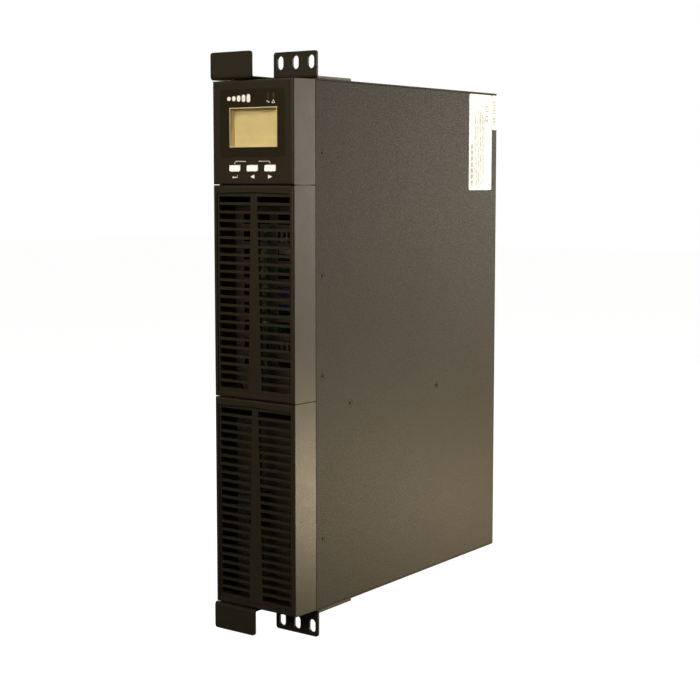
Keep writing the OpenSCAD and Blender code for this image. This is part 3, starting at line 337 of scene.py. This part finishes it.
# each of the record's material slots: the function that makes its material, and its values
FINISHES = {
    "chassis_paint": (powder_coat, dict(colour=(0.022, 0.0185, 0.0135), roughness=0.54, sheen=0.11)),
    "ear_paint": (powder_coat, dict(colour=(0.013, 0.010, 0.005), grain=0.6 * MM, roughness=0.42,
                                    wear=0.4, sheen=0.25)),
    "front_plastic": (moulded_plastic, dict(colour=FRONT_BLACK, grain=0.9 * MM, depth=0.13 * MM,
                                            sheen=0.34)),
    "panel_plastic": (moulded_plastic, dict(colour=shade(FRONT_BLACK, 0.85), roughness=0.33,
                                            depth=0.012 * MM, sheen=0.33)),
    "button_white": (moulded_plastic, dict(colour=(0.93, 0.93, 0.92), roughness=0.38, edge_lift=1.05)),
    "black_parts": (moulded_plastic, dict(colour=(0.022, 0.022, 0.022), roughness=0.45)),
    "socket_black": (moulded_plastic, dict(colour=(0.018, 0.018, 0.018), roughness=0.36)),
    "battery_case": (moulded_plastic, dict(colour=(0.045, 0.045, 0.048), roughness=0.5)),
    "plug_red": (moulded_plastic, dict(colour=(0.36, 0.020, 0.014), roughness=0.4, edge_lift=1.3)),
    "relay_case": (moulded_plastic, dict(colour=(0.03, 0.08, 0.24), roughness=0.3, edge_lift=1.3)),
    "coil_tape": (moulded_plastic, dict(colour=(0.60, 0.38, 0.03), roughness=0.3, edge_lift=1.2)),
    "capacitor_sleeve": (moulded_plastic, dict(colour=(0.018, 0.025, 0.075), roughness=0.3)),
    "insulator_film": (moulded_plastic, dict(colour=(0.55, 0.47, 0.28), roughness=0.45, edge_lift=1.1)),
    "lamp_green": (moulded_plastic, dict(colour=(0.034, 0.036, 0.014), roughness=0.2, edge_lift=1.5)),
    "lamp_red": (moulded_plastic, dict(colour=(0.070, 0.028, 0.013), roughness=0.2, edge_lift=1.5)),
    "ferrite": (powder_coat, dict(colour=(0.05, 0.05, 0.052), grain=0.4 * MM, roughness=0.6, wear=0.2)),
    "black_screws": (powder_coat, dict(colour=(0.007, 0.006, 0.005), grain=0.3 * MM, roughness=0.5,
                                       wear=0.05, sheen=0.15, edge_r=0.15 * MM)),
    "zinc_plate": (galvanised, dict(colour=(0.60, 0.61, 0.60))),
    "zinc_screws": (metal, dict(colour=(0.40, 0.39, 0.37), roughness=0.36)),
    "brass_tabs": (metal, dict(colour=(0.72, 0.52, 0.20), roughness=0.34)),
    "copper_wire": (metal, dict(colour=(0.55, 0.20, 0.07), roughness=0.3, stretch=(0.2, 1, 1),
                                line=0.8 * MM)),
    "guard_chrome": (metal, dict(colour=(0.50, 0.50, 0.50), roughness=0.2)),
    "port_metal": (metal, dict(colour=(0.30, 0.305, 0.31), roughness=0.36)),
    "sink_aluminium": (metal, dict(colour=(0.74, 0.75, 0.76), roughness=0.38, stretch=(1, 0.02, 1))),
    "circuit_board": (circuit_board, dict(mask=(0.012, 0.10, 0.045))),
    "label_film": (label_film, dict(colour=(0.55, 0.575, 0.65))),
    "display_tan": (display_film, dict(colour=(0.60, 0.50, 0.26))),
    "lens_glass": (clear_lens, dict()),
    "ribbon_film": (rubber_skin, dict(colour=(0.42, 0.42, 0.40))),
    "lead_red": (rubber_skin, dict(colour=(0.40, 0.018, 0.012))),
    "lead_black": (rubber_skin, dict(colour=(0.015, 0.015, 0.015))),
    "wire_brown": (rubber_skin, dict(colour=(0.10, 0.045, 0.02))),
}
BY_SLOT = {slot: make(slot, **values) for slot, (make, values) in FINISHES.items()}
BY_SLOT["brass_posts"] = BY_SLOT["brass_tabs"]

print_white = label_film("print_white", (0.80, 0.78, 0.72))
# black for the print on the cover labels, and for the painted shade line round the display panel
print_and_shade_black = label_film("print_and_shade_black", (0.010, 0.010, 0.011))
# near-black foam for the seam seals: painted shade that darkens the seams between the front blocks
seam_shade_foam = rubber_skin("seam_shade_foam", (0.010, 0.010, 0.010))


def finish_nodes():
    """Gives every CAD node the full material of its slot."""
    for part in frame["record"]["subparts"]:
        node = frame["nodes"][part["node"]]
        for material_slot in node.material_slots:
            material_slot.material = BY_SLOT[part["material_slot"]]


finish_nodes()


# ---------------------------------------------------------------- printed marks, a painted shade line, and seam seals of painted shade

MARK_T = 0.06 * MM


def solid_from_outlines(name, outlines, to_world, material, body, thick=MARK_T):
    """A thin raised solid: each outline is a closed list of 2-D points in metres."""
    mesh = bmesh.new()
    for outline in outlines:
        low = [mesh.verts.new(to_world(u, v, 0)) for u, v in outline]
        high = [mesh.verts.new(to_world(u, v, thick)) for u, v in outline]
        mesh.faces.new(low)
        mesh.faces.new(high)
        count = len(outline)
        for i in range(count):
            j = (i + 1) % count
            mesh.faces.new((low[i], low[j], high[j], high[i]))
    bmesh.ops.recalc_face_normals(mesh, faces=mesh.faces)
    data = bpy.data.meshes.new(name)
    mesh.to_mesh(data)
    mesh.free()
    piece = bpy.data.objects.new(name, data)
    bpy.context.scene.collection.objects.link(piece)
    data.materials.append(material)
    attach(piece, body)
    return piece


def bar(u0, v0, u1, v1):
    """Rectangle between two corners."""
    return [(u0, v0), (u1, v0), (u1, v1), (u0, v1)]


def pill(u, v, width, height, steps=6):
    """Bar with round ends about its centre."""
    radius = min(width, height) / 2
    points = []
    for corner, (su, sv) in enumerate(((1, 1), (-1, 1), (-1, -1), (1, -1))):
        for step in range(steps + 1):
            turn = math.radians(90 * corner + 90 * step / steps)
            points.append((u + su * (width / 2 - radius) + radius * math.cos(turn),
                           v + sv * (height / 2 - radius) + radius * math.sin(turn)))
    return points


def stroke(path, width):
    """Closed outline of a line of even width along a path of points."""
    left = []
    right = []
    for i, (u, v) in enumerate(path):
        before = path[max(i - 1, 0)]
        after = path[min(i + 1, len(path) - 1)]
        du = after[0] - before[0]
        dv = after[1] - before[1]
        long = math.hypot(du, dv)
        nu = -dv / long * width / 2
        nv = du / long * width / 2
        left.append((u + nu, v + nv))
        right.append((u - nu, v - nv))
    return left + right[::-1]


def rounded_path(u, v, width, height, radius, steps=6):
    """Closed path round a rectangle with round corners, starting in the middle of its lower side."""
    path = [(u + width / 2, v)]
    for corner, (cu, cv) in enumerate(((1, 0), (1, 1), (0, 1), (0, 0))):
        for step in range(steps + 1):
            turn = math.radians(90 * (corner - 1) + 90 * step / steps)
            path.append((u + radius + cu * (width - 2 * radius) + radius * math.cos(turn),
                         v + radius + cv * (height - 2 * radius) + radius * math.sin(turn)))
    path.append(path[0])
    return path


def triangle(u, v, width, height, direction):
    """Filled triangle pointing left (-1) or right (1)."""
    return [(u - direction * width / 2, v - height / 2),
            (u + direction * width / 2, v),
            (u - direction * width / 2, v + height / 2)]


def on_face(y):
    """Places a print on a face that looks along -Y, at that y."""
    return lambda u, v, out: (u, y - out, v)


def on_side(x):
    """Places a print on a face that looks along +X."""
    return lambda u, v, out: (x + out, u, v)


def on_back(y):
    """Places a print on a face that looks along +Y; u still runs along +X."""
    return lambda u, v, out: (u, y + out, v)


def lying_at(z):
    """Lays an outline flat in X and Y, at that z."""
    return lambda u, v, out: (u, v, z + out)


def centre(node):
    """Middle of a CAD node's box at rest."""
    low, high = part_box(node)
    return (low + high) / 2


def button_marks():
    """Bracket over the buttons, arrows and an enter sign under them: none is a letter."""
    face_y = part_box("display_housing")[0].y
    enter = centre("button_enter")
    middle = centre("button_left")
    right = centre("button_right")
    # bracket over the outer two buttons, open in the middle
    line = 0.45 * MM
    top = enter.z + 5.6 * MM
    drop = 2.6 * MM
    round_in = 1.6 * MM
    half_gap = 6.875 * MM
    turns = 5
    marks = []
    for button, side in ((enter, 1), (right, -1)):
        path = [(button.x, top - drop), (button.x, top - round_in)]
        for step in range(1, turns + 1):
            turn = math.radians(90 * step / turns)
            path.append((button.x + side * round_in * (1 - math.cos(turn)),
                         top - round_in + round_in * math.sin(turn)))
        path.append((middle.x - side * half_gap, top))
        marks.append(stroke(path, line))
    # arrows
    under = enter.z - 6.8 * MM
    arrow_w = 4.2 * MM
    arrow_h = 3.3 * MM
    marks.append(triangle(middle.x, under, arrow_w, arrow_h, -1))
    marks.append(triangle(right.x, under, arrow_w, arrow_h, 1))
    # enter sign: a hook that ends in a small arrow head
    hook = enter.x + 2.6 * MM
    hook_top = under + 1.4 * MM
    hook_foot = under - 0.5 * MM
    marks.append(stroke([(hook, hook_top), (hook, hook_foot), (enter.x - 1.2 * MM, hook_foot)], 0.6 * MM))
    marks.append(triangle(enter.x - 1.9 * MM, hook_foot, 2.0 * MM, 2.2 * MM, -1))
    solid_from_outlines("button_marks", marks, on_face(face_y), print_white, "display_module")


def lamp_marks():
    """Symbols under the two lamps: a wave and a plain triangle."""
    panel_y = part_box("display_panel")[0].y
    wave_at = centre("line_light")
    fault_at = centre("fault_light")
    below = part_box("line_light")[0].z - 2.6 * MM
    line = 0.4 * MM
    wave_w = 3 * MM
    wave_h = 0.7 * MM
    steps = 12
    wave = [(wave_at.x + (t / steps - 0.5) * wave_w, below + wave_h * math.sin(2 * math.pi * t / steps))
            for t in range(steps + 1)]
    side = 2.9 * MM
    foot = below - side * 0.36
    tip = (fault_at.x, below + side * 0.5)
    left = (fault_at.x - side / 2, foot)
    right = (fault_at.x + side / 2, foot)
    marks = [stroke(wave, line)]
    for start, end in ((tip, left), (left, right), (right, tip)):
        marks.append(stroke([start, end], line))
    solid_from_outlines("lamp_marks", marks, on_face(panel_y), print_white, "display_module")


def panel_groove_shade():
    """Painted shade line over the joint on the housing, just outside the display panel's edge, where the
    groove round the panel lies.
    """
    face_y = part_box("display_housing")[0].y
    low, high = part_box("display_panel")
    line = 0.5 * MM
    corner_r = 3.5 * MM
    around = rounded_path(low.x - line / 2, low.z - line / 2, high.x - low.x + line, high.z - low.z + line,
                          corner_r)
    # the black line is painted shade in the groove round the panel
    solid_from_outlines("panel_groove_shade", [stroke(around, line)], on_face(face_y), print_and_shade_black,
                        "display_module")


def panel_emblem():
    """Plain charge-level emblem in the panel's upper left corner: five blocks that grow."""
    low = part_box("display_panel")[0]
    middle_x = low.x + 20 * MM
    middle_z = centre("line_light").z - 1.5 * MM
    pitch = 5.2 * MM
    block_w = 3.8 * MM
    first_h = 3.2 * MM
    growth = 0.9 * MM
    count = 5
    blocks = [pill(middle_x + (i - count // 2) * pitch, middle_z, block_w, first_h + growth * i)
              for i in range(count)]
    solid_from_outlines("panel_emblem", blocks, on_face(low.y), print_white, "display_module")


def box_line(low_u, low_v, high_u, high_v, line):
    """Four bars round a rectangle, meeting at its corners without overlap."""
    return [
        bar(low_u, low_v, high_u, low_v + line),
        bar(low_u, high_v - line, high_u, high_v),
        bar(low_u, low_v + line, low_u + line, high_v - line),
        bar(high_u - line, low_v + line, high_u, high_v - line),
    ]


def heading_blocks(u, v):
    """Column of blocks that stands for a label's heading, from its lower left corner."""
    count = 7
    pitch = 5.6 * MM
    block_w = 4 * MM
    block_h = 4.2 * MM
    return [bar(u, v + i * pitch, u + block_w, v + i * pitch + block_h) for i in range(count)]


def print_rows(u, v):
    """Rows of thin upright bars that stand for words of different lengths."""
    row_count = 6
    words_per_row = 6
    row_pitch = 3.1 * MM
    word_gap = 2.4 * MM
    line = 0.8 * MM
    word_lengths = (7 * MM, 11 * MM, 5 * MM, 9 * MM, 13 * MM)
    rows = []
    for row in range(row_count):
        left = u + row * row_pitch
        foot = v
        for word in range(words_per_row):
            long = word_lengths[(2 * row + word) % len(word_lengths)]
            rows.append(bar(left, foot, left + line, foot + long))
            foot += long + word_gap
    return rows


def label_rules():
    """Plain bars on the two labels of the cover, standing for rows of print that run upwards."""
    low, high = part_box("cover_labels")
    left = low.y + 3 * MM
    foot = low.z + 5 * MM
    rules = heading_blocks(left, foot)
    rules += print_rows(left + 7.5 * MM, foot)
    # two open boxes, one above the other
    box_left = left + 26 * MM
    box_w = 5 * MM
    box_h = 5.5 * MM
    line = 1.0 * MM
    for drop in (25 * MM, 16 * MM):
        v = high.z - drop
        rules += box_line(box_left, v, box_left + box_w, v + box_h, line)
    # ticks on the narrow label, of three thicknesses in turn
    narrow = high.y - 6.4 * MM
    tick_w = 3.8 * MM
    tick_count = 9
    tick_pitch = 2.6 * MM
    lowest = high.z - 28 * MM
    for i in range(tick_count):
        v = lowest + i * tick_pitch
        thick = (0.6 + 0.5 * (i % 3)) * MM
        rules.append(bar(narrow, v, narrow + tick_w, v + thick))
    solid_from_outlines("label_rules", rules, on_side(high.x), print_and_shade_black, "chassis")


def rear_marks():
    """Plain print on the rear panel: a line round the outlets and an earth sign by its screw."""
    face_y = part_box("rear_panel")[1].y
    low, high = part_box("mains_outlets")
    room = 2.6 * MM
    line = 0.5 * MM
    marks = box_line(low.x - room, low.z - room, high.x + room, high.z + room, line)
    # the card cover's screws are at x = 0, so the box of the screws gives the earth screw's place
    screws_low, screws_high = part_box("rear_screws")
    head_r = -screws_low.x
    sign_x = screws_high.x + 5 * MM
    sign_z = screws_low.z + head_r
    bar_top = sign_z + 0.3 * MM
    stem_top = sign_z + 2.6 * MM
    bar_pitch = 1.1 * MM
    marks.append(bar(sign_x - line / 2, bar_top, sign_x + line / 2, stem_top))
    for i, long in enumerate((4.6 * MM, 3.0 * MM, 1.4 * MM)):
        top = bar_top - i * bar_pitch
        marks.append(bar(sign_x - long / 2, top - line, sign_x + long / 2, top))
    solid_from_outlines("rear_marks", marks, on_back(face_y), print_white, "chassis")


def seam_shade_seals():
    """Thin near-black foam seals in the seams between the front blocks, open at the rear and set back; they
    are painted shade that darkens the seams.
    """
    clear = 0.06 * MM
    wide = 2 * MM
    outer_cut = 2 * MM
    inner_cut = 1 * MM
    for below, above in (("grille_lower", "grille_upper"), ("grille_upper", "display_housing")):
        box_low, box_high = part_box(below)
        seam_low = box_high.z
        seam_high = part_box(above)[0].z
        front = box_low.y + 4 * MM
        back = box_low.y + 25 * MM
        out = box_high.x - 3.2 * MM
        inside = out - wide
        behind = front + wide
        u_shape = [
            (-out, back), (-out, front + outer_cut), (-out + outer_cut, front),
            (out - outer_cut, front), (out, front + outer_cut), (out, back),
            (inside, back), (inside, behind + inner_cut), (inside - inner_cut, behind),
            (-inside + inner_cut, behind), (-inside, behind + inner_cut), (-inside, back),
        ]
        # each seal is a near-black sheet of painted shade in its seam
        solid_from_outlines(below + "_seal", [u_shape], lying_at(seam_low), seam_shade_foam, below,
                            seam_high - seam_low - clear)


button_marks()
lamp_marks()
panel_groove_shade()
panel_emblem()
label_rules()
rear_marks()
seam_shade_seals()


# ---------------------------------------------------------------- floor, light, camera

def floor():
    """Wide floor: it bounces light as matt grey paint, and is seen as white as the surroundings."""
    material, tree, shader = new_material("studio_floor")
    soft = noise(tree, coordinates(tree), 0.8, 3)
    tone = mix(tree, soft, (0.14, 0.14, 0.14), (0.17, 0.17, 0.17))
    tree.links.new(tone, shader.inputs["Base Color"])
    tree.links.new(ramp(tree, soft, NOISE_LOW, NOISE_HIGH, 0.7, 0.9), shader.inputs["Roughness"])
    glow = tree.nodes.new("ShaderNodeEmission")
    glow.inputs["Strength"].default_value = 0.97
    both = tree.nodes.new("ShaderNodeAddShader")
    path = tree.nodes.new("ShaderNodeLightPath")
    choose = tree.nodes.new("ShaderNodeMixShader")
    output = next(n for n in tree.nodes if n.type == "OUTPUT_MATERIAL")
    tree.links.new(shader.outputs["BSDF"], both.inputs[0])
    tree.links.new(glow.outputs["Emission"], both.inputs[1])
    tree.links.new(path.outputs["Is Camera Ray"], choose.inputs["Fac"])
    tree.links.new(shader.outputs["BSDF"], choose.inputs[1])
    tree.links.new(both.outputs["Shader"], choose.inputs[2])
    tree.links.new(choose.outputs["Shader"], output.inputs["Surface"])
    half = 6.0
    corner_points = [(-half, -half, 0), (half, -half, 0), (half, half, 0), (-half, half, 0)]
    mesh = bpy.data.meshes.new("studio_floor")
    mesh.from_pydata(corner_points, [], [(0, 1, 2, 3)])
    plane = bpy.data.objects.new("studio_floor", mesh)
    mesh.materials.append(material)
    bpy.context.scene.collection.objects.link(plane)
    gap_below = 0.5 * MM
    plane.location.z = cad_box[0].z - gap_below


def world():
    """Even white surroundings: bright where seen, dim and warm as light."""
    surroundings = bpy.data.worlds.new("studio")
    surroundings.use_nodes = True
    tree = surroundings.node_tree
    tree.nodes.clear()
    output = tree.nodes.new("ShaderNodeOutputWorld")
    seen = tree.nodes.new("ShaderNodeBackground")
    seen.inputs["Color"].default_value = (1, 1, 1, 1)
    seen.inputs["Strength"].default_value = 1.0
    light = tree.nodes.new("ShaderNodeBackground")
    light.inputs["Color"].default_value = (1.0, 0.90, 0.74, 1)
    light.inputs["Strength"].default_value = 0.08
    path = tree.nodes.new("ShaderNodeLightPath")
    choose = tree.nodes.new("ShaderNodeMixShader")
    tree.links.new(path.outputs["Is Camera Ray"], choose.inputs["Fac"])
    tree.links.new(light.outputs["Background"], choose.inputs[1])
    tree.links.new(seen.outputs["Background"], choose.inputs[2])
    tree.links.new(choose.outputs["Shader"], output.inputs["Surface"])
    bpy.context.scene.world = surroundings


def softbox(name, place, target, size, power, colour, spread=180):
    """Rectangular lamp at a place, turned to face the target; the camera doesn't see it."""
    data = bpy.data.lights.new(name, "AREA")
    data.shape = "RECTANGLE"
    data.size = size[0]
    data.size_y = size[1]
    data.energy = power
    data.color = colour
    data.spread = math.radians(spread)
    lamp = bpy.data.objects.new(name, data)
    lamp.location = place
    lamp.rotation_euler = (Vector(target) - Vector(place)).to_track_quat("-Z", "Y").to_euler()
    lamp.visible_camera = False
    bpy.context.scene.collection.objects.link(lamp)


def lights():
    """Soft key from the rear right, weaker fills, and a low strip that lights the lower front side."""
    middle = (cad_box[0] + cad_box[1]) / 2
    softbox("key_right", place=(0.68, 1.12, 0.42), target=middle, size=(0.9, 0.5), power=16,
            colour=(1.0, 0.93, 0.77))
    softbox("fill_front", place=(0.12, -0.95, 0.90), target=(0, -0.15, 0.47), size=(0.8, 0.8), power=2.7,
            colour=(1.0, 0.93, 0.80), spread=56)
    softbox("top", place=(0.0, 0.2, 2.0), target=middle, size=(1.6, 1.6), power=9,
            colour=(1.0, 0.97, 0.92))
    softbox("low_glow", place=(0.32, 0.24, 0.02), target=(0.044, -0.08, 0.11), size=(0.30, 0.05), power=2.1,
            colour=(1.0, 0.82, 0.54))
    softbox("fill_left", place=(-1.20, 0.70, 0.70), target=middle, size=(0.8, 0.8), power=9,
            colour=(1.0, 0.95, 0.86))


def camera():
    """Long lens from the front right, a little above the middle of the part."""
    data = bpy.data.cameras.new("camera")
    data.sensor_width = 36
    data.lens = 75.6
    data.shift_y = -0.05
    eye = bpy.data.objects.new("camera", data)
    bpy.context.scene.collection.objects.link(eye)
    azimuth = math.radians(36.4)
    elevation = math.radians(5.4)
    distance = 1.339
    target = Vector((-0.018, 0.0, 0.256))
    back = Vector((math.sin(azimuth) * math.cos(elevation),
                   -math.cos(azimuth) * math.cos(elevation),
                   math.sin(elevation)))
    eye.location = target + back * distance
    eye.rotation_euler = (-back).to_track_quat("-Z", "Y").to_euler()
    data.clip_start = 0.05
    data.clip_end = 50
    bpy.context.scene.camera = eye


floor()
world()
lights()
camera()
bpy.context.scene.view_settings.view_transform = "Standard"
